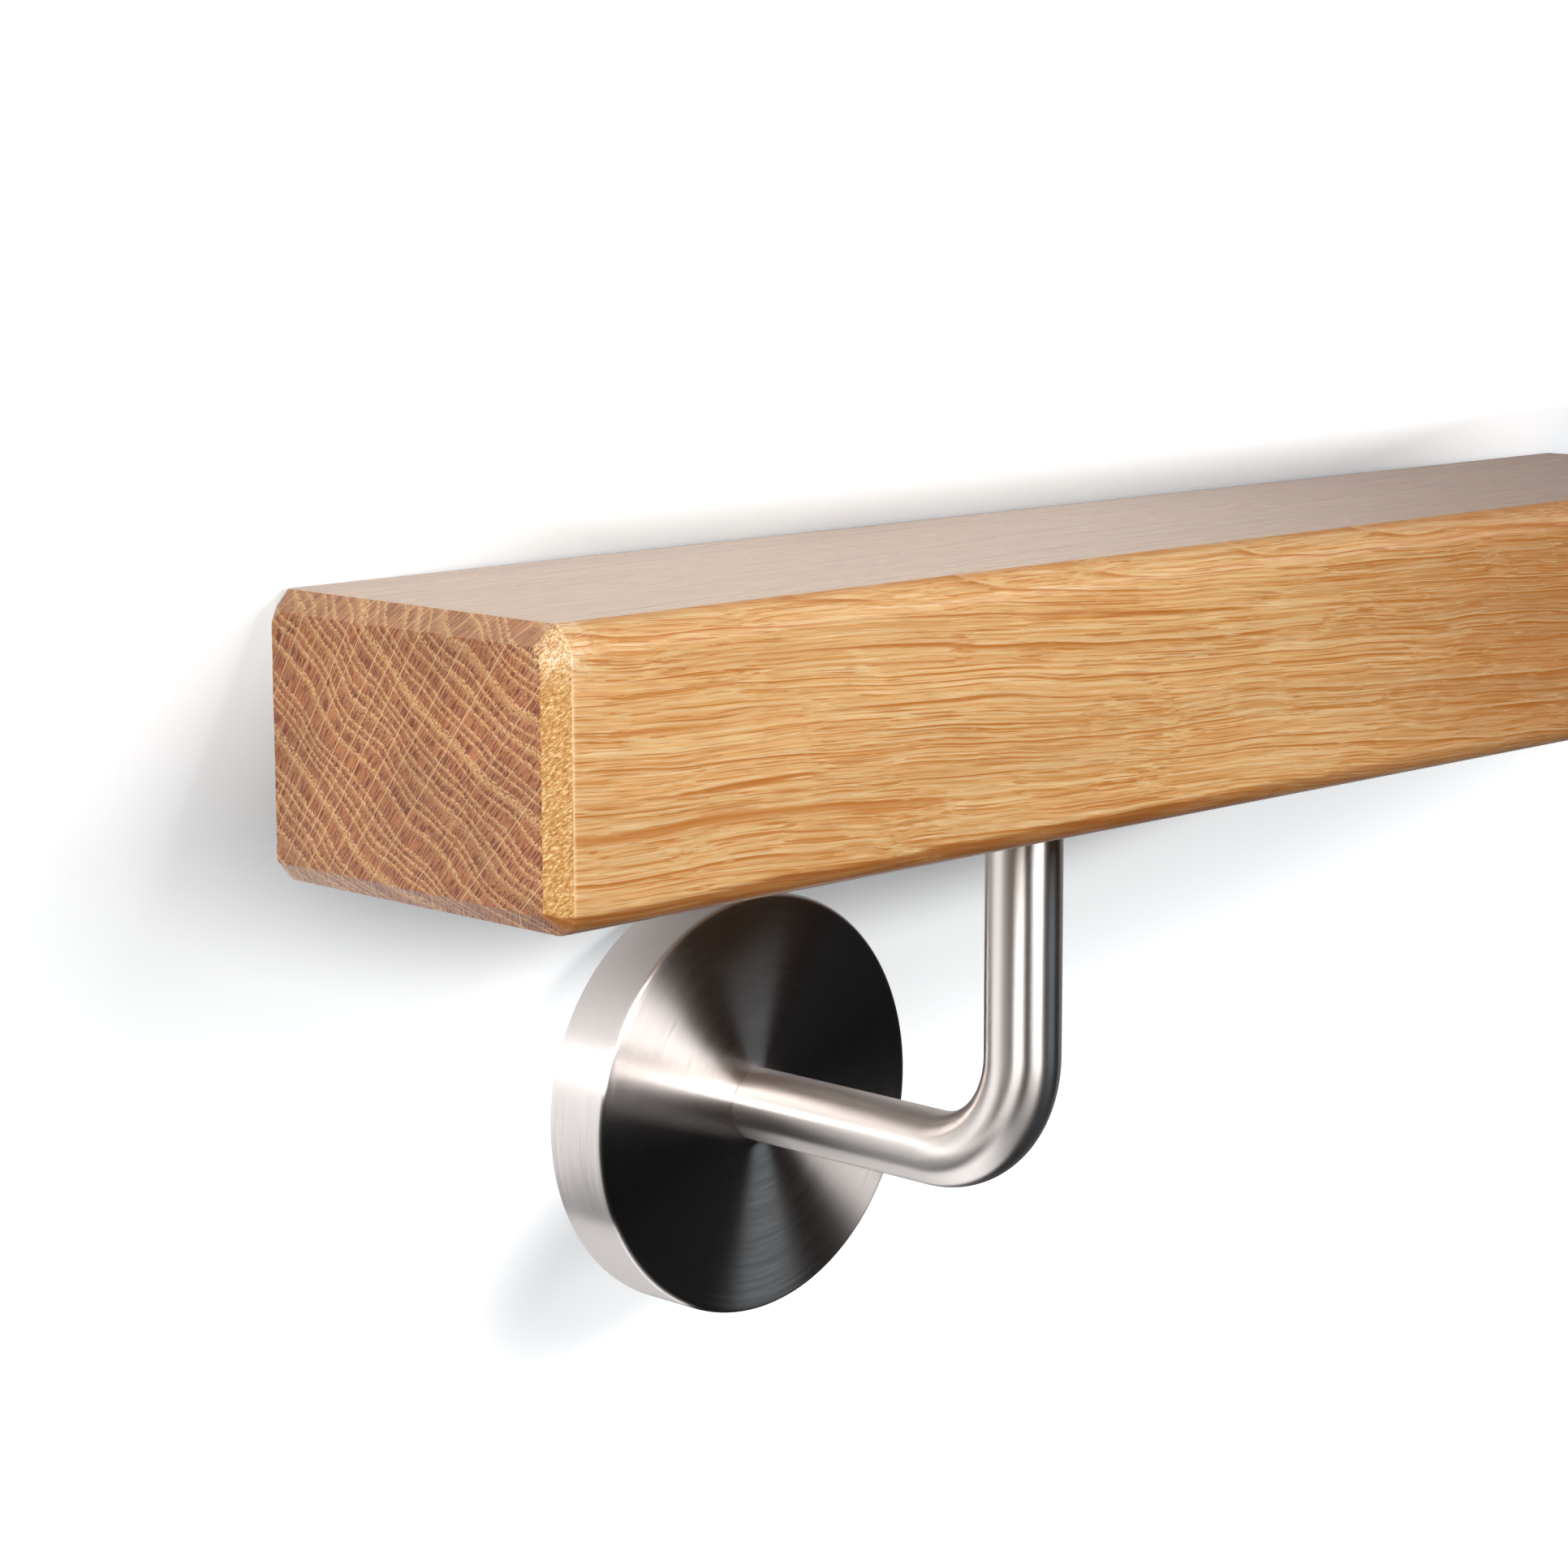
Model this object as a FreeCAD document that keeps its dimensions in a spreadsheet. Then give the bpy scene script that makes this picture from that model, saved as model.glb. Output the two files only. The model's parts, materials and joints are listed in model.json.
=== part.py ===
"""Stair handrail length: an oak rail with eased edges, carried by a bent stainless wall bracket.

Each piece is drawn as it is used, with X along the rail, Y towards the wall and Z up.
The rail's underside is at Z = 0 and its front face at Y = 0.
One resting placement then lays the finished part on a level floor. Put down on its wall side,
it tips over the rosette's rim until the rail's rear edge touches the floor.
"""
import FreeCAD
import Part
import PartDesign
import Sketcher
import math
import os

SIZES = {
    # oak rail
    "rail_length": 300.0,
    "rail_width": 60.0,
    "rail_height": 40.0,
    "top_chamfer": 3.0,
    "lower_round": 3.5,
    "end_chamfer": 3.0,
    # bent bracket rod: its leg stands under the middle of the rail, its arm runs to the wall
    "bracket_from_end": 121.5,
    "rod_diameter": 12.0,
    "wall_distance": 70.0,
    "arm_drop": 58.0,
    "bend_radius": 18.0,
    # turned cover rosette, an open-backed cap
    "rosette_diameter": 70.0,
    "rosette_height": 12.0,
    "rosette_wall": 1.5,
    "rosette_edge": 0.8,
    "rod_clearance": 0.2,
    # wall plate under the rosette
    "plate_thickness": 5.0,
    "plate_clearance": 0.15,
    "screw_count": 3,
    "screw_circle": 48.0,
    "screw_hole": 6.5,
    # hanger bolt that draws the rod up against the rail
    "bolt_diameter": 8.0,
    "bolt_in_rail": 26.0,
    "bolt_in_rod": 16.0,
    "bolt_point": 8.0,
    "bolt_clearance": 0.1,
    "hole_spare": 2.0,
}

doc = FreeCAD.newDocument("stair_handrail")
sheet = doc.addObject("Spreadsheet::Sheet", "Sizes")
for row, (alias, value) in enumerate(SIZES.items(), start=1):
    sheet.set(f"A{row}", alias)
    sheet.set(f"B{row}", str(value))
    sheet.setAlias(f"B{row}", alias)
doc.recompute()


def size(alias):
    """The number in the sheet's cell of that name."""
    return float(sheet.get(alias))


def new_body(name):
    """An empty body whose label names its file."""
    body = doc.addObject("PartDesign::Body", name)
    body.Label = name
    return body


def origin_feature(body, role):
    """One of the body's own origin planes or axes."""
    return next(feature for feature in body.Origin.OriginFeatures if feature.Role == role)


def new_sketch(body, name, role):
    """A sketch on one of the body's origin planes."""
    sketch = body.newObject("Sketcher::SketchObject", name)
    sketch.AttachmentSupport = [(origin_feature(body, role), "")]
    sketch.MapMode = "FlatFace"
    return sketch


def bind(sketch, constraint, expression):
    """Adds a dimension whose value follows the sheet."""
    index = sketch.addConstraint(constraint)
    sketch.setExpression(f"Constraints[{index}]", expression)


def place_point(sketch, geometry, point, across, along):
    """Ties a point to the sketch's origin: a place of "0" lies on the axis itself."""
    for kind, axis, expression in (("DistanceX", -2, across), ("DistanceY", -1, along)):
        if expression == "0":
            sketch.addConstraint(Sketcher.Constraint("PointOnObject", geometry, point, axis))
        else:
            start = sketch.evalExpression(expression)
            bind(sketch, Sketcher.Constraint(kind, -1, 1, geometry, point, start), expression)


def draw_outline(sketch, corners):
    """A closed polygon whose corners are pairs of sheet expressions."""
    places = [FreeCAD.Vector(*(sketch.evalExpression(part) for part in corner), 0) for corner in corners]
    count = len(places)
    for index in range(count):
        sketch.addGeometry(Part.LineSegment(places[index], places[(index + 1) % count]))
    for index in range(count):
        sketch.addConstraint(Sketcher.Constraint("Coincident", index, 2, (index + 1) % count, 1))
    for index, (across, along) in enumerate(corners):
        place_point(sketch, index, 1, across, along)


def draw_circle(sketch, across, along, radius):
    """A circle whose centre and radius are sheet expressions."""
    centre = FreeCAD.Vector(sketch.evalExpression(across), sketch.evalExpression(along), 0)
    start = sketch.evalExpression(radius)
    circle = sketch.addGeometry(Part.Circle(centre, FreeCAD.Vector(0, 0, 1), start))
    place_point(sketch, circle, 3, across, along)
    bind(sketch, Sketcher.Constraint("Radius", circle, start), radius)


def named(kind, shapes, wanted):
    """The names of the edges or faces that pass a test."""
    return [f"{kind}{number}" for number, shape in enumerate(shapes, start=1) if wanted(shape)]


def cut_hole(body, name, circle, depth, upwards):
    """A round pocket from the body's XY plane; it has to take material away."""
    doc.recompute()
    before = body.Shape.Volume
    sketch = new_sketch(body, f"{name}_circle", "XY_Plane")
    draw_circle(sketch, *circle)
    pocket = body.newObject("PartDesign::Pocket", name)
    pocket.Profile = sketch
    pocket.Reversed = upwards
    pocket.setExpression("Length", depth)
    doc.recompute()
    if body.Shape.Volume >= before:
        raise RuntimeError(f"{name} cuts nothing")
    return pocket


def make_handrail():
    """Oak stock: chamfered above and at its ends, rounded over below, bored for the hanger bolt."""
    body = new_body("handrail")
    section = new_sketch(body, "rail_section", "YZ_Plane")
    draw_outline(section, (
        ("0", "0"),
        ("Sizes.rail_width", "0"),
        ("Sizes.rail_width", "Sizes.rail_height - Sizes.top_chamfer"),
        ("Sizes.rail_width - Sizes.top_chamfer", "Sizes.rail_height"),
        ("Sizes.top_chamfer", "Sizes.rail_height"),
        ("0", "Sizes.rail_height - Sizes.top_chamfer"),
    ))
    stock = body.newObject("PartDesign::Pad", "rail_stock")
    stock.Profile = section
    stock.setExpression("Length", "Sizes.rail_length")
    doc.recompute()

    def on_underside(edge):
        return edge.BoundBox.ZMax < 1e-6 and edge.BoundBox.XLength > 1e-6

    rounded = body.newObject("PartDesign::Fillet", "rounded_underside")
    rounded.Base = (stock, named("Edge", stock.Shape.Edges, on_underside))
    rounded.setExpression("Radius", "Sizes.lower_round")
    doc.recompute()

    def across_rail(face):
        return face.BoundBox.XLength < 1e-6

    eased_ends = body.newObject("PartDesign::Chamfer", "eased_ends")
    eased_ends.Base = (rounded, named("Face", rounded.Shape.Faces, across_rail))
    eased_ends.setExpression("Size", "Sizes.end_chamfer")

    bolt_fit = "Sizes.bolt_diameter / 2 + Sizes.bolt_clearance"
    bolt_hole = ("Sizes.bracket_from_end", "Sizes.rail_width / 2", bolt_fit)
    cut_hole(body, "bolt_hole", bolt_hole, "Sizes.bolt_in_rail + Sizes.hole_spare", upwards=True)
    return body


def make_bracket_rod():
    """Round bar bent once: a leg from the rail's underside, and an arm to the wall plate."""
    body = new_body("bracket_rod")
    bend = size("bend_radius")
    drop = size("arm_drop")
    reach = size("wall_distance") - size("plate_thickness")
    bend_circle = Part.Circle(FreeCAD.Vector(bend, bend - drop, 0), FreeCAD.Vector(0, 0, 1), bend)
    path = new_sketch(body, "rod_path", "YZ_Plane")
    path.addGeometry(Part.LineSegment(FreeCAD.Vector(0, 0, 0), FreeCAD.Vector(0, bend - drop, 0)))
    path.addGeometry(Part.ArcOfCircle(bend_circle, math.pi, 1.5 * math.pi))
    path.addGeometry(Part.LineSegment(FreeCAD.Vector(bend, -drop, 0), FreeCAD.Vector(reach, -drop, 0)))
    path.addConstraint(Sketcher.Constraint("Coincident", 0, 1, -1, 1))
    path.addConstraint(Sketcher.Constraint("Vertical", 0))
    path.addConstraint(Sketcher.Constraint("Horizontal", 2))
    path.addConstraint(Sketcher.Constraint("Tangent", 0, 2, 1, 1))
    path.addConstraint(Sketcher.Constraint("Tangent", 1, 2, 2, 1))
    bind(path, Sketcher.Constraint("Radius", 1, bend), "Sizes.bend_radius")
    bind(path, Sketcher.Constraint("DistanceY", 2, 2, -1, 1, drop), "Sizes.arm_drop")
    arm_end = Sketcher.Constraint("DistanceX", -1, 1, 2, 2, reach)
    bind(path, arm_end, "Sizes.wall_distance - Sizes.plate_thickness")

    section = new_sketch(body, "rod_section", "XY_Plane")
    draw_circle(section, "0", "0", "Sizes.rod_diameter / 2")
    doc.recompute()
    bar = body.newObject("PartDesign::AdditivePipe", "bent_bar")
    bar.Profile = section
    bar.Spine = (path, ["Edge1", "Edge2", "Edge3"])

    tapping = ("0", "0", "Sizes.bolt_diameter / 2 + Sizes.bolt_clearance")
    cut_hole(body, "tapped_end", tapping, "Sizes.bolt_in_rod + Sizes.hole_spare", upwards=False)
    return body


def make_cover_rosette():
    """Thin turned cap that hides the wall plate, bored to slide along the arm."""
    body = new_body("cover_rosette")
    outer = "Sizes.rosette_diameter / 2"
    inner = "Sizes.rosette_diameter / 2 - Sizes.rosette_wall"
    bore = "Sizes.rod_diameter / 2 + Sizes.rod_clearance"
    under_face = "Sizes.rosette_height - Sizes.rosette_wall"
    profile = new_sketch(body, "rosette_profile", "XZ_Plane")
    draw_outline(profile, (
        (outer, "0"),
        (outer, "Sizes.rosette_height"),
        (bore, "Sizes.rosette_height"),
        (bore, under_face),
        (inner, under_face),
        (inner, "0"),
    ))
    cap = body.newObject("PartDesign::Revolution", "turned_cap")
    cap.Profile = profile
    cap.ReferenceAxis = (profile, ["V_Axis"])
    cap.Angle = 360.0
    doc.recompute()

    def on_front_rim(edge):
        if not isinstance(edge.Curve, Part.Circle):
            return False
        wide = abs(edge.Curve.Radius - size("rosette_diameter") / 2) < 1e-6
        return wide and abs(edge.Curve.Center.z - size("rosette_height")) < 1e-6

    broken_edge = body.newObject("PartDesign::Fillet", "broken_edge")
    broken_edge.Base = (cap, named("Edge", cap.Shape.Edges, on_front_rim))
    broken_edge.setExpression("Radius", "Sizes.rosette_edge")
    return body


def make_wall_plate():
    """Round plate welded to the end of the arm, with its screw holes on a circle."""
    body = new_body("wall_plate")
    outline = new_sketch(body, "plate_outline", "XY_Plane")
    rim = "Sizes.rosette_diameter / 2 - Sizes.rosette_wall - Sizes.plate_clearance"
    draw_circle(outline, "0", "0", rim)
    disc = body.newObject("PartDesign::Pad", "plate_disc")
    disc.Profile = outline
    disc.setExpression("Length", "Sizes.plate_thickness")

    screw = ("Sizes.screw_circle / 2", "0", "Sizes.screw_hole / 2")
    first_hole = cut_hole(body, "screw_hole", screw, "Sizes.plate_thickness", upwards=True)
    ring = body.newObject("PartDesign::PolarPattern", "screw_ring")
    ring.Originals = [first_hole]
    ring.Axis = (origin_feature(body, "Z_Axis"), [""])
    ring.Angle = 360.0
    ring.setExpression("Occurrences", "Sizes.screw_count")
    body.Tip = ring
    return body


def make_hanger_bolt():
    """Plain shank with a wood point: one half sits in the rod, the other in the rail."""
    body = new_body("hanger_bolt")
    radius = "Sizes.bolt_diameter / 2"
    length = "Sizes.bolt_in_rod + Sizes.bolt_in_rail"
    profile = new_sketch(body, "bolt_profile", "XZ_Plane")
    draw_outline(profile, (
        ("0", "0"),
        (radius, "0"),
        (radius, f"{length} - Sizes.bolt_point"),
        ("0", length),
    ))
    shank = body.newObject("PartDesign::Revolution", "bolt_shank")
    shank.Profile = profile
    shank.ReferenceAxis = (profile, ["V_Axis"])
    shank.Angle = 360.0
    return body


def seats_in_use():
    """Where each piece's own origin sits on the finished bracket and rail."""
    x_bracket = size("bracket_from_end")
    y_leg = size("rail_width") / 2
    upright = FreeCAD.Rotation()
    off_wall = FreeCAD.Rotation(FreeCAD.Vector(1, 0, 0), 90)
    under_rail = FreeCAD.Vector(x_bracket, y_leg, 0)
    bolt_end = FreeCAD.Vector(x_bracket, y_leg, -size("bolt_in_rod"))
    on_wall = FreeCAD.Vector(x_bracket, y_leg + size("wall_distance"), -size("arm_drop"))
    return {
        "handrail": FreeCAD.Placement(FreeCAD.Vector(), upright),
        "bracket_rod": FreeCAD.Placement(under_rail, upright),
        "cover_rosette": FreeCAD.Placement(on_wall, off_wall),
        "wall_plate": FreeCAD.Placement(on_wall, off_wall),
        "hanger_bolt": FreeCAD.Placement(bolt_end, upright),
    }


def resting_turn():
    """Wall side down, then tipped over the rosette's rim on to the rail's rear edge."""
    wall_gap = size("wall_distance") - size("rail_width") / 2
    rear_edge = size("rail_height") - size("top_chamfer")
    rosette_top = size("rosette_diameter") / 2 - size("arm_drop")
    tip = math.degrees(math.atan2(wall_gap, rear_edge - rosette_top))
    wall_side_down = FreeCAD.Rotation(FreeCAD.Vector(1, 0, 0), -90 - tip)
    front_forward = FreeCAD.Rotation(FreeCAD.Vector(0, 0, 1), 180)
    return front_forward * wall_side_down


def lay_down(bodies):
    """Turns the whole part to its rest and centres its footprint on the origin, at floor level."""
    turn = FreeCAD.Placement(FreeCAD.Vector(), resting_turn())
    seats = seats_in_use()
    for body in bodies:
        body.Placement = turn * seats[body.Label]
    doc.recompute()
    box = Part.makeCompound([body.Shape for body in bodies]).optimalBoundingBox(False, False)
    shift = FreeCAD.Placement(FreeCAD.Vector(-box.Center.x, -box.Center.y, -box.ZMin), FreeCAD.Rotation())
    for body in bodies:
        body.Placement = shift * body.Placement
    doc.recompute()


def check_all(bodies):
    """Stops before anything is written if a feature failed or a solid is bad."""
    for item in doc.Objects:
        if "Invalid" in item.State or "Error" in item.State:
            raise RuntimeError(f"{item.Name} failed: {item.State}")
    for body in bodies:
        if body.Shape.isNull() or not body.Shape.isValid() or len(body.Shape.Solids) != 1:
            raise RuntimeError(f"{body.Label} is not one good solid")


pieces = [make_handrail(), make_bracket_rod(), make_cover_rosette(), make_wall_plate(), make_hanger_bolt()]
lay_down(pieces)
check_all(pieces)
os.makedirs("parts", exist_ok=True)
for piece in pieces:
    piece.Shape.exportStep(f"parts/{piece.Label}.step")
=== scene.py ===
import json
import math

import bpy
import numpy as np
from mathutils import Matrix, Vector, noise


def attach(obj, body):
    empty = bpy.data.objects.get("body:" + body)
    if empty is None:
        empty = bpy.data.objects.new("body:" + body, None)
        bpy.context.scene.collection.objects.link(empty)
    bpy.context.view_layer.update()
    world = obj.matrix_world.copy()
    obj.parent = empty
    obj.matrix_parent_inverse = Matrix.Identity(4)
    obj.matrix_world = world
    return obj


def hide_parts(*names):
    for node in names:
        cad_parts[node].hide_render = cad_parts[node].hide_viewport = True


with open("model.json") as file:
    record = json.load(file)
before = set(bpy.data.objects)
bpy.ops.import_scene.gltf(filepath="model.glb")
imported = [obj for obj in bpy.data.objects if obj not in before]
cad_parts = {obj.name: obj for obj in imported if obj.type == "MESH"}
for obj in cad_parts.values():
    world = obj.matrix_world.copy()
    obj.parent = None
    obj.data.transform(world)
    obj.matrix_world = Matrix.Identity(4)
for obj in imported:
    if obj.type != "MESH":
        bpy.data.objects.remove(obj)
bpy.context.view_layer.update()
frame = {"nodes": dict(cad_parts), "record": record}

MM = 0.001

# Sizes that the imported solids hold, and that can't be read from their boxes
TOP_CHAMFER = 3.0 * MM
LOWER_ROUND = 3.5 * MM
END_CHAMFER = 3.0 * MM
BEND_RADIUS = 18.0 * MM
ROSETTE_WALL = 1.5 * MM
ROSETTE_EDGE = 0.8 * MM
BORE_CLEARANCE = 0.05 * MM

# The photograph's camera, fitted to the rail's edges
PHOTO_PIXELS = 1932
FOCAL_PIXELS = 4957.0
SENSOR_MM = 36.0
CAMERA_PLACE = Vector((-329.2, -371.4, 103.8)) * MM
CAMERA_YAW = math.radians(44.84)
CAMERA_PITCH = math.radians(9.57)
CAMERA_ROLL = math.radians(-0.16)


def mount(name):
    """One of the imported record's mounts."""
    return next(entry for entry in frame["record"]["mounts"] if entry["name"] == name)


def node_points(name):
    """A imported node's corners, one to a row."""
    return np.array([corner.co for corner in frame["nodes"][name].data.vertices])


def use_frame():
    """The use frame: the wall mount gives Y, the near end gives X, the rail's lowest corner the origin."""
    along = -Vector(mount("near_end_face")["axis"])
    to_wall = Vector(mount("wall_face")["axis"])
    turn = Matrix((along, to_wall, along.cross(to_wall))).transposed()
    corner = Vector((node_points("handrail") @ np.array(turn)).min(axis=0))
    return Matrix.Translation(turn @ corner) @ turn.to_4x4()


USE = use_frame()


def use_box(name):
    """A node's lowest and highest corners in the use frame."""
    inverse = np.array(USE.inverted())
    points = node_points(name) @ inverse[:3, :3].T + inverse[:3, 3]
    return Vector(points.min(axis=0)), Vector(points.max(axis=0))


RAIL = use_box("handrail")[1]
rod_low, rod_high = use_box("bracket_rod")
rosette_low, rosette_high = use_box("cover_rosette")
ROD_RADIUS = (rod_high.x - rod_low.x) / 2
ROD_LEG = Vector(((rod_low.x + rod_high.x) / 2, rod_low.y + ROD_RADIUS, 0))
ARM_HEIGHT = rod_low.z + ROD_RADIUS
ARM_END = rod_high.y
ROSETTE_RADIUS = (rosette_high.x - rosette_low.x) / 2
ROSETTE_HEIGHT = rosette_high.y - rosette_low.y
ROSETTE_CENTRE = Vector((ROD_LEG.x, rosette_high.y, ARM_HEIGHT))


class Look:
    """A node material under construction: its methods add nodes and return the last one's output."""

    def __init__(self, name):
        self.material = bpy.data.materials.new(name)
        self.material.use_nodes = True
        self.tree = self.material.node_tree
        self.surface = self.tree.nodes["Principled BSDF"]

    def feed(self, socket, value):
        if isinstance(value, bpy.types.NodeSocket):
            self.tree.links.new(value, socket)
        else:
            socket.default_value = value

    def node(self, kind, settings=None, inputs=None):
        new = self.tree.nodes.new("ShaderNode" + kind)
        for key, value in (settings or {}).items():
            setattr(new, key, value)
        for key, value in (inputs or {}).items():
            self.feed(new.inputs[key], value)
        return new

    def math(self, operation, *values):
        return self.node("Math", {"operation": operation}, dict(enumerate(values))).outputs[0]

    def product(self, first, second):
        return self.math("MULTIPLY", first, second)

    def length(self, a, b):
        return self.math("SQRT", self.math("MULTIPLY_ADD", a, a, self.math("MULTIPLY", b, b)))

    def vector(self, x, y, z):
        return self.node("CombineXYZ", None, {"X": x, "Y": y, "Z": z}).outputs[0]

    def scaled(self, *pairs):
        """A vector of three values, each times its factor."""
        return self.vector(*(self.math("MULTIPLY", value, factor) for value, factor in pairs))

    def noise(self, place, detail=2.0, roughness=0.5, output="Fac"):
        inputs = {"Vector": place, "Scale": 1.0, "Detail": detail, "Roughness": roughness}
        return self.node("TexNoise", None, inputs).outputs[output]

    def step(self, value, low, high, to_low=0.0, to_high=1.0):
        inputs = {"Value": value, "From Min": low, "From Max": high, "To Min": to_low, "To Max": to_high}
        return self.node("MapRange", {"interpolation_type": "SMOOTHSTEP"}, inputs).outputs["Result"]

    def ramp(self, value, stops):
        new = self.node("ValToRGB", None, {"Fac": value})
        elements = new.color_ramp.elements
        while len(elements) < len(stops):
            elements.new(0.5)
        for element, (position, colour) in zip(elements, stops):
            element.position = position
            element.color = (*colour, 1.0)
        return new.outputs["Color"]

    def mix(self, share, first, second, blend="MIX"):
        new = self.node("Mix", {"data_type": "RGBA", "blend_type": blend})
        self.feed(new.inputs[0], share)
        for socket, value in ((new.inputs[6], first), (new.inputs[7], second)):
            self.feed(socket, value if isinstance(value, bpy.types.NodeSocket) else (*value, 1.0))
        return new.outputs[2]

    def blend(self, share, first, second):
        """A number between two others."""
        return self.node("Mix", {"data_type": "FLOAT"}, {0: share, 2: first, 3: second}).outputs[0]

    def toned(self, colour, value, low, high, edge=0.25):
        """A colour times low to high, as a value runs from edge to the same distance below 1."""
        tone = self.step(value, edge, 1 - edge, low, high)
        return self.mix(1.0, colour, self.vector(tone, tone, tone), "MULTIPLY")

    def finish(self, **inputs):
        """Feeds the surface's inputs, named with underscores for spaces."""
        for key, value in inputs.items():
            self.feed(self.surface.inputs[key.replace("_", " ")], value)
        return self.material


class Oak(Look):
    """Ring-porous oak cut from one log: the same rings show as arcs on the ends and as grain on the
    faces. Lengths are in millimetres and colours are linear."""

    GRAIN_SLOPE = 0.055
    HEART_Y, HEART_Z, RING_WIDTH = -110.0, 227.0, 1.95
    FAN_Y, FAN_Z, FAN_RADIUS = 150.0, -135.0, 196.0

    LATE_DARK, LATE_PALE = (0.215, 0.060, 0.031), (0.560, 0.216, 0.094)
    EARLY_DARK, EARLY_PALE = (0.540, 0.248, 0.108), (0.820, 0.500, 0.240)
    FINE_RAY, WIDE_RAY = (0.68, 0.35, 0.14), (0.86, 0.57, 0.30)
    FIBRES = (
        (0.30, (0.600, 0.280, 0.085)),
        (0.50, (0.700, 0.405, 0.168)),
        (0.70, (0.760, 0.525, 0.275)),
    )
    # Painted shade for the rail's far half
    FAR_PAINTED_SHADE = (0.85, 0.71, 0.65)
    PORE_LINE, RING_RIM = (0.470, 0.155, 0.022), (0.80, 0.56, 0.31)
    PORE, FLECK = (0.42, 0.160, 0.034), (0.82, 0.61, 0.36)
    TORN = (
        (0.32, (0.30, 0.110, 0.022)),
        (0.44, (0.53, 0.250, 0.066)),
        (0.54, (0.68, 0.385, 0.130)),
        (0.66, (0.96, 0.760, 0.460)),
    )
    # The second colour on the next line is painted light for the upward-facing end chamfer
    ARRIS, UPPER_CUT = (0.92, 0.70, 0.40), (0.90, 0.62, 0.36)
    # The first colour on the next line is painted shade for the lower front edge; the others are oil beside
    # the top and torn fibres
    OILED, BESIDE_TOP, FRAYED = (0.34, 0.115, 0.025), (0.46, 0.195, 0.052), (0.92, 0.75, 0.50)

    def __init__(self):
        super().__init__("oiled_oak")
        coords = self.node("TexCoord").outputs
        place = self.node("VectorMath", {"operation": "SCALE"}, {0: coords["Object"], "Scale": 1 / MM})
        self.x, self.y, self.z = self.node("SeparateXYZ", None, {0: place.outputs[0]}).outputs[0:3]
        self.facing = self.node("SeparateXYZ", None, {0: coords["Normal"]}).outputs
        self.bend_grain()
        self.count_rings()
        self.fan_rays()

    def stretched(self, along, across, detail=2.0, output="Fac", seed=0.0):
        """Noise drawn out along the rail: the size of its features along it and across it."""
        spot = self.vector(
            self.math("MULTIPLY_ADD", self.x, 1 / along, seed),
            self.math("MULTIPLY", self.grain_y, 1 / across),
            self.math("MULTIPLY", self.grain_z, 1 / across),
        )
        return self.noise(spot, detail, 0.55, output)

    def section_noise(self, size, detail=2.0, output="Fac", depth=0.05, seed=0.0):
        """Noise in the section that hardly changes along the rail."""
        spot = self.vector(
            self.math("MULTIPLY", self.grain_y, 1 / size),
            self.math("MULTIPLY", self.grain_z, 1 / size),
            self.math("MULTIPLY_ADD", self.x, depth, seed),
        )
        return self.noise(spot, detail, 0.5, output)

    def bend_grain(self):
        """Bent coordinates: the rings wave in the section, and the grain wanders along the rail."""
        self.grain_y, self.grain_z = self.y, self.math("MULTIPLY_ADD", self.x, self.GRAIN_SLOPE, self.z)
        bends = (
            (self.section_noise(15.0, 1.0, "Color", 0.002), 5.6),
            (self.stretched(85.0, 40.0, 1.0, "Color"), 3.4),
            (self.stretched(23.0, 9.0, 1.0, "Color", seed=7.0), 1.7),
        )
        for pattern, reach in bends:
            share = self.node("SeparateColor", None, {0: pattern}).outputs
            off_y, off_z = (self.math("SUBTRACT", share[k], 0.5) for k in range(2))
            self.grain_y = self.math("MULTIPLY_ADD", off_y, reach, self.grain_y)
            self.grain_z = self.math("MULTIPLY_ADD", off_z, reach, self.grain_z)

    def count_rings(self):
        """Rings by distance from the log's heart, far above the front edge. Season runs 0 to 1 in each."""
        out_y = self.math("SUBTRACT", self.grain_y, self.HEART_Y)
        out_z = self.math("SUBTRACT", self.HEART_Z, self.grain_z)
        radius = self.length(out_y, out_z)
        spot = self.vector(self.math("MULTIPLY", radius, 0.21), self.math("MULTIPLY", self.x, 0.004), 0.0)
        uneven = self.math("MULTIPLY_ADD", self.noise(spot, 1.0), 7.0, radius)
        self.season = self.math("FRACT", self.math("MULTIPLY", uneven, 1 / self.RING_WIDTH))

    def fan_rays(self):
        """Where the rays run: straight sheets that cross the rings and fan out from a point below."""
        ray_y = self.math("SUBTRACT", self.FAN_Y, self.y)
        ray_z = self.math("SUBTRACT", self.z, self.FAN_Z)
        self.reach = self.length(ray_y, ray_z)
        self.arc = self.math("MULTIPLY", self.math("ARCTAN2", ray_z, ray_y), self.FAN_RADIUS)

    def rays(self, spacing, width, seed):
        """Thin lines along the fan, each with a strength of its own."""
        place = self.math("MULTIPLY_ADD", self.arc, 1 / spacing, seed)
        inputs = {"W": place, "Scale": 1.0, "Randomness": 1.0}
        cells = self.node("TexVoronoi", {"voronoi_dimensions": "1D"}, inputs).outputs
        line = self.step(self.math("MULTIPLY", cells["Distance"], spacing), 0.4 * width, width, 1.0, 0.0)
        own = self.node("SeparateColor", None, {0: cells["Color"]}).outputs[0]
        return self.product(line, self.step(own, 0.1, 0.7, 0.25, 1.0))

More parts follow.
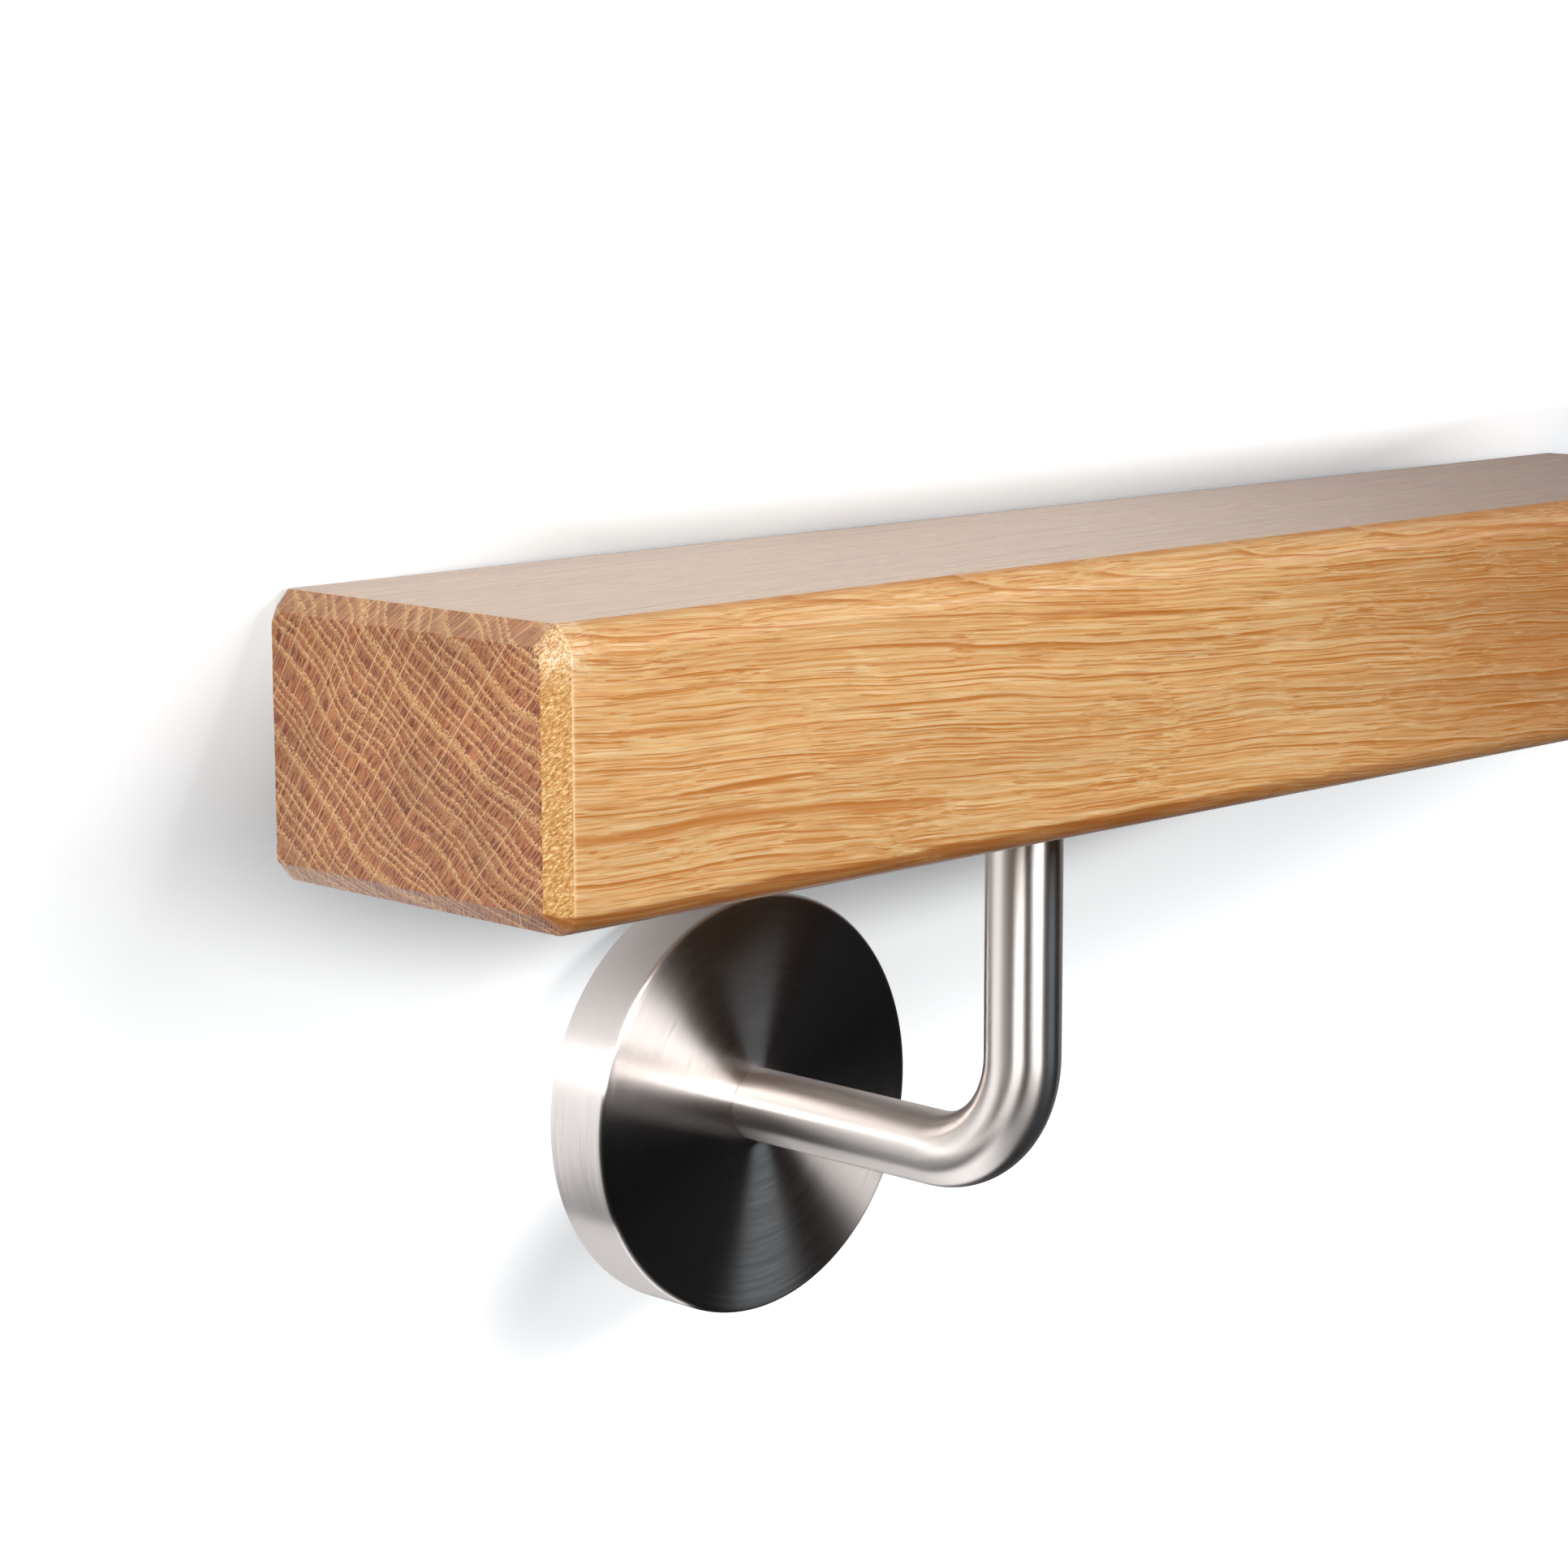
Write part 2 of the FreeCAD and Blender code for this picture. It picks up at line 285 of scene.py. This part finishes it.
    def end_grain(self):
        """Pale rows of pores, hatched brown latewood with pale dots, thin rays."""
        hatch_spot = self.scaled((self.arc, 1 / 0.22), (self.reach, 1 / 2.6), (self.x, 1 / 6.0))
        self.hatch = self.step(self.noise(hatch_spot), 0.41, 0.57)
        speck = self.step(self.section_noise(0.38), 0.40, 0.60)
        late = self.mix(self.hatch, self.LATE_DARK, self.LATE_PALE)
        early = self.mix(speck, self.EARLY_DARK, self.EARLY_PALE)
        ragged = self.math("MULTIPLY_ADD", self.math("SUBTRACT", speck, 0.5), 0.26, self.season)
        pore_row = self.product(self.step(ragged, 0.02, 0.10), self.step(ragged, 0.38, 0.48, 1.0, 0.0))
        dots = self.step(self.section_noise(0.42, 0.0, seed=4.0), 0.62, 0.70, 0.0, 0.6)
        dots = self.product(dots, self.step(self.season, 0.55, 0.80, 1.0, 0.15))
        colour = self.mix(pore_row, self.mix(dots, late, early), early)
        colour = self.mix(self.product(self.rays(0.60, 0.08, 3.0), 0.35), colour, self.FINE_RAY)
        colour = self.mix(self.product(self.rays(2.9, 0.11, 11.0), 0.95), colour, self.WIDE_RAY)
        return self.toned(colour, self.section_noise(17.0, seed=8.0), 0.84, 1.14)

    def long_grain(self):
        """Fine fibres, darker lines where pore rows surface, short pores, pale flecks and painted shade
        towards the far end.
        """
        self.hair = self.stretched(9.0, 0.17, seed=2.0)
        colour = self.ramp(self.stretched(42.0, 0.42), self.FIBRES)
        colour = self.toned(colour, self.hair, 0.90, 1.10)
        colour = self.toned(colour, self.stretched(130.0, 9.0, 1.0, seed=17.0), 0.93, 1.08)
        # Painted shade: the far half is darkened and browned, as light falling off along the rail would do
        painted_far_shade = self.mix(1.0, colour, self.FAR_PAINTED_SHADE, "MULTIPLY")
        colour = self.mix(self.step(self.x, 130.0, 230.0), colour, painted_far_shade)
        surfacing = self.step(self.stretched(42.0, 1.5, 1.0, seed=5.0), 0.36, 0.60, 0.10, 1.0)
        band = self.product(self.step(self.season, 0.0, 0.05), self.step(self.season, 0.05, 0.32, 0.95, 0.0))
        band = self.product(band, surfacing)
        streak = self.step(self.stretched(30.0, 0.27, 1.0, seed=21.0), 0.57, 0.64, 0.0, 0.70)
        colour = self.mix(self.math("MAXIMUM", band, streak), colour, self.PORE_LINE)
        rim = self.product(self.step(self.season, 0.86, 0.98, 0.0, 0.50), surfacing)
        colour = self.mix(rim, colour, self.RING_RIM)
        pores = self.step(self.stretched(5.0, 0.19, 1.0, seed=9.0), 0.64, 0.73, 0.0, 0.4)
        colour = self.mix(pores, colour, self.PORE)
        flecks = self.step(self.stretched(6.5, 0.26, 1.0, seed=13.0), 0.64, 0.73, 0.0, 0.5)
        return self.mix(flecks, colour, self.FLECK)

    def cut_ends(self, face_colour, end_colour):
        """The end chamfers cut the fibres slantwise: bright and rough at the sides, ring lines elsewhere."""
        self.across_end = self.math("ABSOLUTE", self.facing["X"])
        self.slanted = self.step(self.across_end, 0.40, 0.60)
        flat_end = self.step(self.across_end, 0.78, 0.92)
        level = self.product(self.slanted, self.step(self.math("ABSOLUTE", self.facing["Z"]), 0.45, 0.60))
        self.endness = self.math("MAXIMUM", flat_end, level)
        cut_across = self.math("MULTIPLY", self.math("SUBTRACT", self.x, self.y), math.sqrt(0.5))
        cut_along = self.math("MULTIPLY_ADD", cut_across, 0.82, self.math("MULTIPLY", self.z, 0.57))
        cut_off = self.math("MULTIPLY_ADD", cut_across, -0.57, self.math("MULTIPLY", self.z, 0.82))
        torn_spot = self.scaled((cut_along, 1 / 0.75), (cut_off, 1 / 0.30), (self.y, 0.1))
        self.torn = self.noise(torn_spot, 4.0, 0.70)
        torn_colour = self.ramp(self.torn, self.TORN)
        torn_colour = self.toned(torn_colour, self.math("PINGPONG", self.season, 0.5), 0.94, 1.14)
        colour = self.mix(self.slanted, face_colour, torn_colour)
        arris = self.step(self.across_end, 0.06, 0.16)
        arris = self.product(arris, self.step(self.across_end, 0.32, 0.50, 0.45, 0.0))
        colour = self.mix(arris, colour, self.ARRIS)
        colour = self.mix(self.endness, colour, end_colour)
        # Painted light: the end chamfer that faces up is made paler than the one that faces down
        painted_light_upper_cut = self.product(self.slanted, self.step(self.facing["Z"], 0.45, 0.60, 0.0, 0.18))
        return self.mix(painted_light_upper_cut, colour, self.UPPER_CUT)

    def shaded_and_worn_edges(self, colour):
        """Painted shade where the lower front edge faces down, oil gathered beside the top, and torn fibres
        at the near corner.
        """
        # Painted shade: a mottled darkening of the lower front edge where it faces down and forward, on the
        # near half
        shade_mottle = self.stretched(24.0, 0.8, seed=27.0)
        tipped = self.math("MULTIPLY_ADD", self.math("SUBTRACT", shade_mottle, 0.5), 0.5, self.facing["Z"])
        painted_lower_shade = self.product(self.step(tipped, -0.04, -0.22), self.step(self.facing["Y"], -0.10, -0.40))
        painted_lower_shade = self.product(painted_lower_shade, self.step(shade_mottle, 0.35, 0.65, 0.98, 0.66))
        painted_lower_shade = self.product(painted_lower_shade, self.step(self.x, 110.0, 210.0, 1.0, 0.2))
        colour = self.mix(painted_lower_shade, colour, self.OILED)
        beside_top = self.product(self.step(self.z, 39.0, 39.7), self.step(self.facing["Y"], -0.15, -0.40))
        colour = self.mix(self.product(beside_top, 0.55), colour, self.BESIDE_TOP)
        corner = self.product(self.step(self.x, 2.0, 10.0, 1.0, 0.0), self.step(self.y, 2.5, 6.0, 1.0, 0.0))
        corner = self.product(corner, self.step(self.z, 31.0, 37.0))
        frayed = self.product(corner, self.step(self.stretched(2.2, 0.35, seed=31.0), 0.47, 0.60))
        return self.mix(self.product(frayed, 0.75), colour, self.FRAYED)

    def relief(self):
        """Straight fibres on the faces, torn ones on the slanted cuts, fine hatch on the ends."""
        fibre_spot = self.scaled((self.x, 1 / 9.0), (self.y, 1 / 0.19), (self.z, 1 / 0.19))
        height = self.blend(self.slanted, self.noise(fibre_spot), self.torn)
        height = self.blend(self.endness, height, self.math("MULTIPLY", self.hatch, 0.3))
        inputs = {"Height": height, "Strength": 0.25, "Distance": 0.12 * MM}
        return self.node("Bump", None, inputs).outputs["Normal"]

    def oil(self):
        """A coat that is thinner on the cuts and along the rubbed upper front edge."""
        upward = self.facing["Z"]
        rubbed = self.product(self.step(upward, 0.15, 0.35), self.step(upward, 0.80, 0.95, 1.0, 0.0))
        rubbed = self.product(rubbed, self.step(self.facing["Y"], -0.25, -0.45))
        coat = self.step(self.across_end, 0.40, 0.60, 1.0, 0.45)
        return self.product(coat, self.step(rubbed, 0.0, 1.0, 1.0, 0.35))


def oak():
    """The rail's finished wood, matt on the cuts."""
    look = Oak()
    end_colour = look.end_grain()
    colour = look.shaded_and_worn_edges(look.cut_ends(look.long_grain(), end_colour))
    sheen = look.blend(look.slanted, look.step(look.hair, 0.2, 0.8, 0.30, 0.40), 0.55)
    return look.finish(
        Base_Color=colour, Roughness=sheen, Specular_IOR_Level=0.20,
        Coat_Weight=look.oil(), Coat_Roughness=0.23, Normal=look.relief())


def brushed_steel(name, base, roughness, anisotropy, lay, wear):
    """Stainless steel with fine brush marks round its axis: lay scales them per turn and per metre."""
    look = Look(name)
    uv = look.node("UVMap", {"uv_map": "lay"}).outputs["UV"]
    turn, length = look.node("SeparateXYZ", None, {0: uv}).outputs[0:2]
    spot = look.vector(look.math("MULTIPLY", turn, lay[0]), look.math("MULTIPLY", length, lay[1]), 0.0)
    marks = look.noise(spot, 3.0, 0.6)
    tangent = look.node("Tangent", {"direction_type": "UV_MAP", "uv_map": "lay"}).outputs["Tangent"]
    rough = look.step(marks, 0.25, 0.75, roughness * (1 - wear), roughness * (1 + wear))
    colour = look.toned(base, marks, 1 - 0.4 * wear, 1.0, edge=0.2)
    quarter_turn = 0.25
    return look.finish(
        Base_Color=colour, Roughness=rough, Metallic=1.0, Tangent=tangent,
        Anisotropic=anisotropy, Anisotropic_Rotation=quarter_turn)


def plain_steel(name, base, roughness):
    """Rolled steel for the hidden plate and bolt, with faint cloudy staining."""
    look = Look(name)
    place = look.node("TexCoord").outputs["Object"]
    cloud = look.node("TexNoise", None, {"Vector": place, "Scale": 160.0, "Detail": 4.0}).outputs["Fac"]
    colour = look.toned(base, cloud, 0.85, 1.0, edge=0.3)
    rough = look.step(cloud, 0.3, 0.7, roughness * 0.85, roughness * 1.15)
    return look.finish(Base_Color=colour, Roughness=rough, Metallic=1.0)


def new_piece(name, points, faces, material, node, place):
    """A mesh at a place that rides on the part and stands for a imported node."""
    mesh = bpy.data.meshes.new(name)
    mesh.from_pydata([tuple(point) for point in points], [], faces)
    mesh.materials.append(material)
    mesh.polygons.foreach_set("use_smooth", [True] * len(mesh.polygons))
    piece = bpy.data.objects.new(name, mesh)
    bpy.context.scene.collection.objects.link(piece)
    piece.matrix_world = place
    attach(piece, "root")
    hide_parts(node)
    return piece


def ring_faces(rings, count, closed=False):
    """Quads between rings of count points each, the last ring joined to the first where closed."""
    faces = []
    for ring in range(rings if closed else rings - 1):
        here, there = ring * count, (ring + 1) % rings * count
        for index in range(count):
            after = (index + 1) % count
            faces.append((here + index, here + after, there + after, there + index))
    return faces


def end_faces(rings, count):
    """One face over the first ring and one over the last, both turned outward."""
    last = (rings - 1) * count
    return [tuple(reversed(range(count))), tuple(range(last, last + count))]


def lay_uv(mesh, turns, lengths):
    """A UV map of per-corner values: shares of a turn, which run on past 1, and lengths along a profile."""
    turn_end, turn_start = 0.9, 0.1
    layer = mesh.uv_layers.new(name="lay")
    for polygon in mesh.polygons:
        corners = [mesh.loops[loop].vertex_index for loop in polygon.loop_indices]
        wraps = max(turns[corner] for corner in corners) > turn_end
        for loop, corner in zip(polygon.loop_indices, corners):
            share = turns[corner]
            layer.data[loop].uv = (share + 1 if wraps and share < turn_start else share, lengths[corner])


def rail_section(inset):
    """The rail's section with eased arrises, moved in by inset on every side."""
    width, height = RAIL.y, RAIL.z
    half_turn = math.tan(math.radians(22.5))
    top, bottom = TOP_CHAMFER, LOWER_ROUND * (1 - half_turn)
    rubbed, soft, crisp = 4.2 * MM, 1.4 * MM, 0.5 * MM
    corners = (
        ((bottom, 0.0), LOWER_ROUND), ((width - bottom, 0.0), LOWER_ROUND),
        ((width, bottom), LOWER_ROUND), ((width, height - top), soft),
        ((width - top, height), crisp), ((top, height), crisp),
        ((0.0, height - top), rubbed), ((0.0, bottom), LOWER_ROUND),
    )
    count, arc_steps, side_step = len(corners), 5, 1.1 * MM
    spots = [Vector(corner) for corner, _ in corners]
    runs = [spots[(i + 1) % count] - spots[i] for i in range(count)]
    sides = [run.normalized() for run in runs]
    inward = [Vector((-side.y, side.x)) for side in sides]
    moved = [spots[i] + inset * (inward[i] + half_turn * sides[i]) for i in range(count)]
    arcs = []
    for i in range(count):
        shortest = min((moved[i] - moved[i - 1]).length, (moved[(i + 1) % count] - moved[i]).length)
        radius = min(corners[i][1], 0.48 * shortest / half_turn)
        centre = moved[i] + radius * (inward[i] + half_turn * sides[i])
        ways = [inward[i - 1].lerp(inward[i], k / arc_steps).normalized() for k in range(arc_steps + 1)]
        arcs.append([centre - radius * way for way in ways])
    outline = []
    for i, arc in enumerate(arcs):
        cuts = max(2, round(runs[i].length / side_step))
        following = arcs[(i + 1) % count][0]
        outline += arc + [arc[-1].lerp(following, k / cuts) for k in range(1, cuts)]
    return outline


def worn(point, inset):
    """A point of the rail moved a little: serrated where the end was cut, chipped at the near corner."""
    spot = Vector(point)
    inward = (Vector((spot.x, RAIL.y / 2, RAIL.z / 2)) - spot).normalized()
    tooth_depth, tooth_reach, teeth_per_metre = 0.12 * MM, 0.5 * MM, 900
    serration = tooth_depth * max(0.0, 1 - abs(inset - END_CHAMFER) / tooth_reach)
    chip_centre, chip_reach, chip_depth = Vector((0, 0, RAIL.z - 2 * MM)), 7 * MM, 0.8 * MM
    chips_per_metre, chip_seed, chip_level = 700, Vector((3, 5, 7)), 0.05
    near_chip = max(0.0, 1 - (spot - chip_centre).length / chip_reach)
    chip = chip_depth * near_chip * max(0.0, noise.noise(spot * chips_per_metre + chip_seed) - chip_level)
    moved = spot + serration * noise.noise(spot * teeth_per_metre) * inward
    return tuple(moved + chip * (inward + Vector((0.6, 0, 0))).normalized())


def make_rail(material):
    """Oak stock as a loft of sections, its ends chamfered all round."""
    ease, chamfer_steps = 0.16 * MM, 8
    ends = [(0.0, END_CHAMFER)]
    for k in range(chamfer_steps + 1):
        share = k / chamfer_steps
        station = 0.4 * ease + share * (END_CHAMFER - 1.4 * ease)
        ends.append((station, (END_CHAMFER - ease) * (1 - share) + share * 0.4 * ease))
    ends.append((END_CHAMFER + ease, 0.0))
    fine, fine_reach, coarse = 0.8 * MM, 12 * MM, 3 * MM
    ends += [(END_CHAMFER + ease + fine * k, 0.0) for k in range(1, round(fine_reach / fine))]
    start = ends[-1][0]
    gaps = round((RAIL.x - 2 * start) / coarse)
    middle = [(start + (RAIL.x - 2 * start) * k / gaps, 0.0) for k in range(1, gaps)]
    stations = ends + middle + [(RAIL.x - station, inset) for station, inset in reversed(ends)]
    count = len(rail_section(0.0))
    points = []
    for station, inset in stations:
        points += [worn((station, *corner), inset) for corner in rail_section(inset)]
    faces = ring_faces(len(stations), count) + end_faces(len(stations), count)
    return new_piece("oak_rail", points, faces, material, "handrail", USE)


def make_rod(material):
    """Bar swept down the leg, round the bend and along the arm."""
    around, bend_steps, straight_steps = 96, 40, 12
    path = []
    for k in range(straight_steps):
        path.append((ROD_LEG + Vector((0, 0, (ARM_HEIGHT + BEND_RADIUS) * k / straight_steps)), 0.0))
    centre = ROD_LEG + Vector((0, BEND_RADIUS, ARM_HEIGHT + BEND_RADIUS))
    for k in range(bend_steps + 1):
        angle = math.pi / 2 * k / bend_steps
        path.append((centre - BEND_RADIUS * Vector((0, math.cos(angle), math.sin(angle))), angle))
    start = ROD_LEG.y + BEND_RADIUS
    for k in range(1, straight_steps + 1):
        reach = start + (ARM_END - start) * k / straight_steps
        path.append((Vector((ROD_LEG.x, reach, ARM_HEIGHT)), math.pi / 2))
    points, turns, lengths = [], [], []
    travelled = 0.0
    for index, (spot, angle) in enumerate(path):
        if index:
            travelled += (spot - path[index - 1][0]).length
        outward = Vector((0, -math.cos(angle), -math.sin(angle)))
        for k in range(around):
            turn = 2 * math.pi * k / around
            off = math.cos(turn) * Vector((1, 0, 0)) + math.sin(turn) * outward
            points.append(USE @ (spot + ROD_RADIUS * off))
            turns.append(k / around)
            lengths.append(travelled)
    faces = ring_faces(len(path), around) + end_faces(len(path), around)
    piece = new_piece("bent_bar", points, faces, material, "bracket_rod", Matrix.Identity(4))
    lay_uv(piece.data, turns, lengths)
    return piece


def make_rosette(material):
    """Turned cap: flat face, rounded edge, straight rim, open back and a bore round the arm."""
    around, edge_steps, face_steps = 192, 8, 24
    outer, inner = ROSETTE_RADIUS, ROSETTE_RADIUS - ROSETTE_WALL
    bore = ROD_RADIUS + BORE_CLEARANCE
    under = ROSETTE_HEIGHT - ROSETTE_WALL
    profile = [(inner, 0.0), (inner, under), (bore, under), (bore, ROSETTE_HEIGHT)]
    for k in range(1, face_steps + 1):
        profile.append((bore + (outer - ROSETTE_EDGE - bore) * k / face_steps, ROSETTE_HEIGHT))
    for k in range(1, edge_steps + 1):
        angle = math.pi / 2 * k / edge_steps
        inward, down = ROSETTE_EDGE * (1 - math.sin(angle)), ROSETTE_EDGE * (1 - math.cos(angle))
        profile.append((outer - inward, ROSETTE_HEIGHT - down))
    profile.append((outer, 0.0))
    points, turns, lengths = [], [], []
    travelled = 0.0
    for index, (radius, height) in enumerate(profile):
        if index:
            travelled += math.dist((radius, height), profile[index - 1])
        for k in range(around):
            turn = 2 * math.pi * k / around
            points.append((radius * math.cos(turn), radius * math.sin(turn), height))
            turns.append(k / around)
            lengths.append(travelled)
    off_wall = USE @ Matrix.Translation(ROSETTE_CENTRE) @ Matrix.Rotation(math.pi / 2, 4, "X")
    faces = [tuple(reversed(face)) for face in ring_faces(len(profile), around, closed=True)]
    piece = new_piece("turned_cap", points, faces, material, "cover_rosette", off_wall)
    lay_uv(piece.data, turns, lengths)
    return piece


def sharpen(piece, degrees):
    """Marks edges that turn by more than that as sharp, so that flats stay flat."""
    piece.data.set_sharp_from_angle(angle=math.radians(degrees))


def make_stage():
    """A pale floor that rises into a low rim all round, with no edge in view, and painted light and shade in
    its glow.
    """
    hub, apron, flat, rim, rise, around, steps = 0.02, 0.6, 1.8, 3.2, 0.75, 96, 16
    profile = [(hub, 0.0), (apron, 0.0), (flat, 0.0)]
    for k in range(1, steps + 1):
        angle = math.pi / 2 * k / steps
        profile.append((flat + (rim - flat) * math.sin(angle), rise * (1 - math.cos(angle))))
    points = [(r * math.cos(2 * math.pi * k / around), r * math.sin(2 * math.pi * k / around), h)
              for r, h in profile for k in range(around)]
    faces = [tuple(reversed(face)) for face in ring_faces(len(profile), around)] + [tuple(range(around))]
    mesh = bpy.data.meshes.new("floor")
    mesh.from_pydata(points, [], faces)
    mesh.polygons.foreach_set("use_smooth", [True] * len(mesh.polygons))
    floor = bpy.data.objects.new("floor", mesh)
    bpy.context.scene.collection.objects.link(floor)

    look = Look("pale_floor")
    path = look.node("LightPath").outputs
    place = look.node("TexCoord").outputs["Object"]

    def away_from(x, y, squeeze=1.0):
        """Distance from a spot of the floor. Squeeze makes Y count for more or less than X."""
        flat_place = look.node("VectorMath", {"operation": "MULTIPLY"}, {0: place, 1: (1.0, squeeze, 0.0)})
        inputs = {0: flat_place.outputs[0], 1: (x, squeeze * y, 0.0)}
        return look.node("VectorMath", {"operation": "DISTANCE"}, inputs).outputs["Value"]

    # What the steel and the oil mirror, painted into the floor's glow: painted light around the part and a
    # brighter pool beside the rosette, a painted shadow under it
    rail_side = look.node("SeparateXYZ", None, {0: place}).outputs["Y"]
    painted_glow_around_part = look.step(away_from(0.16, 0.10, 0.4), 0.13, 0.32, 0.45, 0.13)
    painted_glow_around_part = look.math("MULTIPLY", painted_glow_around_part, look.step(rail_side, -0.04, 0.03, 0.85, 1.0))
    painted_pool_by_rosette = look.step(away_from(0.15, 0.075), 0.05, 0.12, 0.62, 0.0)
    painted_shadow_under_part = look.step(away_from(0.03, 0.0), 0.02, 0.07, 0.40, 1.0)
    painted_mirror_glow = look.math("MULTIPLY", look.math("ADD", painted_glow_around_part, painted_pool_by_rosette), painted_shadow_under_part)
    mirror_ray = look.math("MAXIMUM", path["Is Glossy Ray"], path["Is Transmission Ray"])
    painted_mirror_glow = look.math("MULTIPLY", painted_mirror_glow, mirror_ray)

    # What the camera sees: white away from the rail; near it a painted shade of less glow, where real
    # shadows show too, and beyond the rosette less glow so that its shadow shows
    near_rail = away_from(0.0, -0.02, 2.3)
    seen = look.step(near_rail, 0.11, 0.165, 0.0, 0.46)
    seen = look.math("ADD", seen, look.step(near_rail, 0.165, 0.34, 0.0, 0.54))
    # Painted light: more glow at a spot beside the rosette, which hides the shadow there
    seen = look.math("ADD", seen, look.step(away_from(0.045, 0.068), 0.010, 0.045, 0.25, 0.0))
    seen = look.math("SUBTRACT", seen, look.step(away_from(0.0, 0.122), 0.015, 0.050, 0.50, 0.0))
    # Painted shade: a narrow grey band along the rail's rear edge, fading to white beyond it
    seen = look.math("MAXIMUM", seen, look.step(rail_side, -0.0515, -0.074))
    glow = look.math("MULTIPLY_ADD", path["Is Camera Ray"], seen, painted_mirror_glow)
    # Cooler paint behind the rail, so that the painted shade there looks grey rather than warm
    shade = look.mix(look.step(rail_side, -0.040, -0.050), (0.885, 0.925, 0.96), (0.80, 0.885, 0.95))
    paint = look.mix(path["Is Camera Ray"], (0.50, 0.50, 0.51), shade)
    mesh.materials.append(look.finish(
        Base_Color=paint, Roughness=0.9, Specular_IOR_Level=0.0,
        Emission_Color=(1.0, 1.0, 1.0, 1.0), Emission_Strength=glow))


def add_lamp(name, towards, level, distance, size, watts, colour):
    """A soft box at a direction of the use frame, turned to the part, its width as near level as can be."""
    lamp = bpy.data.lights.new(name, "AREA")
    lamp.shape = "RECTANGLE"
    lamp.size, lamp.size_y = size
    lamp.energy = watts
    lamp.color = colour
    holder = bpy.data.objects.new(name, lamp)
    holder.visible_camera = False
    bpy.context.scene.collection.objects.link(holder)
    target = Vector((0.25 * RAIL.x, 0.5 * RAIL.y, 0.0))
    back = Vector(towards).normalized()
    across = Vector(level)
    across = (across - across.dot(back) * back).normalized()
    turn = Matrix((across, back.cross(across), back)).transposed().to_4x4()
    holder.matrix_world = USE @ Matrix.Translation(target + distance * back) @ turn


def add_lights():
    """Two boxes that the steel mirrors as bright bands, a dim cool fill and a fill from below."""
    warm, cool, plain = (1.0, 0.98, 0.96), (0.80, 0.92, 1.0), (1.0, 1.0, 1.0)
    # Name, direction, direction of the width, distance, size, watts and colour
    add_lamp("front_box", (-0.01, -0.97, 0.20), (-0.90, 0, 0.44), 0.42, (0.245, 0.143), 1.26, warm)
    add_lamp("left_box", (-0.84, -0.48, 0.25), (0.5, -0.86, 0), 0.90, (0.46, 0.32), 5.3, warm)
    add_lamp("right_fill", (0.66, -0.60, 0.35), (1, 0, 0), 1.30, (0.52, 0.40), 1.5, cool)
    add_lamp("back_fill", (-0.10, 0.20, -0.97), (1, 0, 0), 1.30, (1.20, 0.60), 5.0, plain)
    world = bpy.data.worlds.new("dim_room")
    world.use_nodes = True
    world.node_tree.nodes["Background"].inputs["Color"].default_value = (0.006, 0.006, 0.007, 1.0)
    world.node_tree.nodes["Background"].inputs["Strength"].default_value = 1.0
    bpy.context.scene.world = world


def add_camera():
    """The photograph's viewpoint: yaw turns from the wall towards the far end, pitch looks down."""
    cy, sy = math.cos(CAMERA_YAW), math.sin(CAMERA_YAW)
    cp, sp = math.cos(CAMERA_PITCH), math.sin(CAMERA_PITCH)
    forward = Vector((sy * cp, cy * cp, -sp))
    right = Vector((cy, -sy, 0.0))
    up = right.cross(forward)
    cr, sr = math.cos(CAMERA_ROLL), math.sin(CAMERA_ROLL)
    right, up = cr * right + sr * up, cr * up - sr * right
    lens = bpy.data.cameras.new("photo_view")
    lens.sensor_width = SENSOR_MM
    lens.lens = SENSOR_MM * FOCAL_PIXELS / PHOTO_PIXELS
    lens.clip_start = 0.01
    camera = bpy.data.objects.new("photo_view", lens)
    bpy.context.scene.collection.objects.link(camera)
    turn = Matrix((right, up, -forward)).transposed().to_4x4()
    camera.matrix_world = USE @ Matrix.Translation(CAMERA_PLACE) @ turn
    bpy.context.scene.camera = camera


def dress_node(name, material):
    """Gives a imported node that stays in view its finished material."""
    node = frame["nodes"][name]
    node.data.materials.clear()
    node.data.materials.append(material)


rail = make_rail(oak())
sharpen(rail, 14)
rod = make_rod(brushed_steel(
    "brushed_bar", (0.86, 0.81, 0.78), roughness=0.36, anisotropy=0.90, lay=(6.0, 2500.0), wear=0.03))
sharpen(rod, 40)
rosette = make_rosette(brushed_steel(
    "turned_steel", (0.86, 0.81, 0.79), roughness=0.31, anisotropy=1.00, lay=(10.0, 1500.0), wear=0.09))
sharpen(rosette, 40)
dress_node("wall_plate", plain_steel("rolled_plate", (0.50, 0.50, 0.51), 0.45))
dress_node("hanger_bolt", plain_steel("zinc_bolt", (0.60, 0.60, 0.58), 0.40))
make_stage()
add_lights()
add_camera()
bpy.context.scene.view_settings.view_transform = "Standard"
